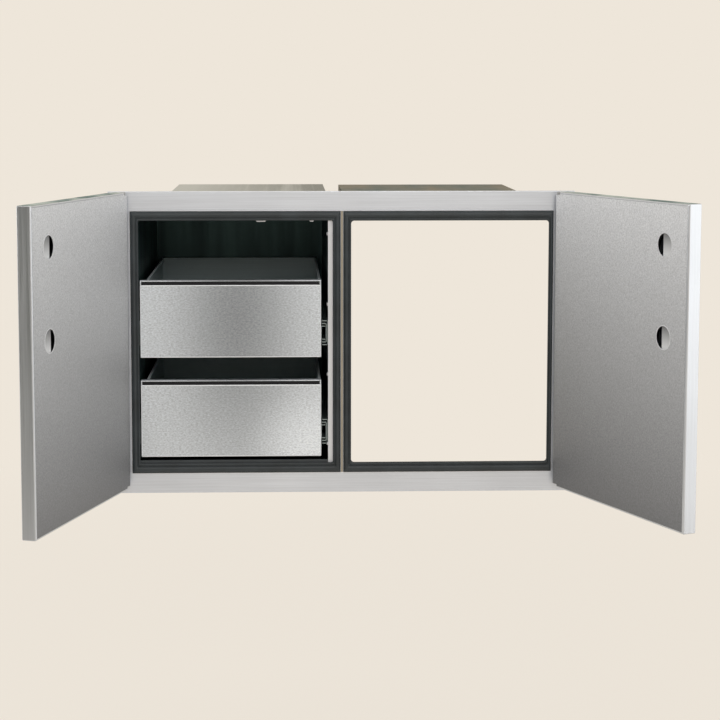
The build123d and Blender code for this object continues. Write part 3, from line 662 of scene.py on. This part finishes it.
def sill_section():
    """Section of the rubber edging that is pushed over the upright front edge of the pantry's floor."""
    front = []
    back = []
    for line in (SILL_TRIM_OUTSIDE, SILL_TRIM_INSIDE):
        front.append([(SILL_FRONT_Y - out, SILL_TOP_Z + up) for out, up in line])
        back.append([(SILL_BACK_Y + out, SILL_TOP_Z + up) for out, up in line])
    return front[0] + back[0][::-1] + back[1] + front[1][::-1]


bm = swept([[(x, y, z) for y, z in sill_section()] for x in SILL_X])
new_piece("pantry_sill_trim", bm, "cabinet", "seal_rubber")


def clip_outline(middle, width):
    """Tab with round lower corners, just showing under the top of the seal."""
    left, right = middle - width / 2, middle + width / 2
    r = min(width / 2, CLIP_R)
    outline = [(right, CLIP_TOP_Z), (left, CLIP_TOP_Z)]
    outline += quarter(left + r, CLIP_LOW_Z + r, r, 180, CLIP_STEPS)
    outline += quarter(right - r, CLIP_LOW_Z + r, r, 270, CLIP_STEPS)
    return outline


bm = bmesh.new()
for middle, width in CLIPS:
    outline = clip_outline(middle, width)
    sweep(bm, [[(x, y, z) for x, z in outline] for y in (SILL_FRONT_Y, SILL_BACK_Y)])
new_piece("pantry_mouth_clips", bm, "cabinet", "strip_steel")

# Thin strip along the mullion; its tan steel is a painted warm reflection
bm = swept([[(x, FACE_Y - height, z) for x, height in COVER_STRIP] for z in (SEAL_LOW_Z, SEAL_TOP_Z)])
new_piece("mullion_reflection_strip", bm, "cabinet", "mullion_steel")


def door_place(side):
    """Turns a place on the closed door into its place at rest."""
    joint = joints[f"{side}_door_hinge"]
    pivot = Vector(joint["pos_m"])
    turn = Matrix.Rotation(math.radians(-joint["range_deg"][0]), 4, Vector(joint["axis"]))
    return Matrix.Translation(pivot) @ turn @ Matrix.Translation(-pivot)


def hole_rim(bm, x, z):
    """Rolled rim round an access hole of a liner."""
    angles = [2 * math.pi * n / HOLE_STEPS for n in range(HOLE_STEPS)]
    loops = []
    for out, proud in HOLE_RIM:
        r = HOLE_R + out
        loops.append([(x + r * math.cos(a), DOOR_BACK_Y + proud, z + r * math.sin(a)) for a in angles])
    sweep(bm, loops, closed=True)


for side, way in SIDES.items():
    bm = bmesh.new()
    for z in HOLE_HEIGHTS:
        hole_rim(bm, way * HOLE_X, z)
    bmesh.ops.transform(bm, matrix=door_place(side), verts=bm.verts)
    new_piece(f"{side}_liner_hole_rims", bm, f"{side}_door", "hole_steel")


def new_plane(name, half_x, half_y, z=0.0):
    """Flat rectangle of the stage."""
    mesh = bpy.data.meshes.new(name)
    corners = [(-half_x, -half_y, z), (half_x, -half_y, z), (half_x, half_y, z), (-half_x, half_y, z)]
    mesh.from_pydata(corners, [], [(0, 1, 2, 3)])
    return new_object(name, mesh)


def aim(obj, place, target, forward):
    obj.location = place
    obj.rotation_euler = (Vector(target) - Vector(place)).to_track_quat(forward, "Y").to_euler()


def make_world():
    """Even soft light, with the pale backdrop where the world is seen."""
    world = bpy.data.worlds.new("studio")
    g = Graph(world)
    fill = g.tree.nodes["Background"]
    backdrop = g.node("ShaderNodeBackground")
    for shader, colour, strength in ((fill, AMBIENT, AMBIENT_STRENGTH), (backdrop, BACKDROP, 1.0)):
        shader.inputs["Color"].default_value = colour
        shader.inputs["Strength"].default_value = strength
    shown = g.by_ray(fill.outputs["Background"], backdrop.outputs["Background"])
    g.link(shown, g.tree.nodes["World Output"].inputs["Surface"])
    scene.world = world


def make_floor():
    """Pale floor that fades into the backdrop away from the unit and keeps the unit's shadow."""
    floor = new_plane("floor", FLOOR_HALF, FLOOR_HALF, FLOOR_Z)
    g = new_graph("pale_floor")
    g.set(Roughness=1.0, Base_Color=FLOOR_COLOUR, Specular_IOR_Level=0.0)
    glow = g.node("ShaderNodeEmission")
    glow.inputs["Color"].default_value = BACKDROP
    plain = g.shader.outputs["BSDF"]
    near = g.spread(g.length(g.place()), to=FLOOR_SHADOW, span=FLOOR_FADE)
    seen = g.either(near, glow.outputs["Emission"], plain)
    g.link(g.by_ray(plain, seen), g.tree.nodes["Material Output"].inputs["Surface"])
    floor.data.materials.append(g.owner)


def make_card():
    """Dark card of the studio, which shows only in gloss and keeps the edge of the left door grey."""
    card = new_plane("card", *CARD_HALF)
    aim(card, CARD_PLACE, CARD_TARGET, "Z")
    card.visible_camera = False
    card.visible_diffuse = False
    card.visible_shadow = False
    card.visible_transmission = False
    g = new_graph("dark_card")
    g.set(Roughness=1.0, Base_Color=CARD_COLOUR)
    card.data.materials.append(g.owner)


def make_lamp(name, place, target, size, power, colour):
    data = bpy.data.lights.new(name, "AREA")
    data.shape = "RECTANGLE"
    data.size, data.size_y = size
    data.energy = power
    data.color = colour
    aim(new_object(name, data), place, target, "-Z")


def make_camera():
    data = bpy.data.cameras.new("camera")
    data.sensor_width = SENSOR
    data.lens = LENS
    data.shift_x, data.shift_y = CAMERA_SHIFT
    data.clip_end = CAMERA_REACH
    camera = new_object("camera", data)
    camera.location = CAMERA_PLACE
    camera.rotation_euler = (math.pi / 2 - CAMERA_DOWN, 0.0, CAMERA_TURN)
    scene.camera = camera


make_world()
make_floor()
make_card()
for name, lamp in LAMPS.items():
    make_lamp(name, **lamp)
make_camera()
scene.view_settings.view_transform = "Standard"
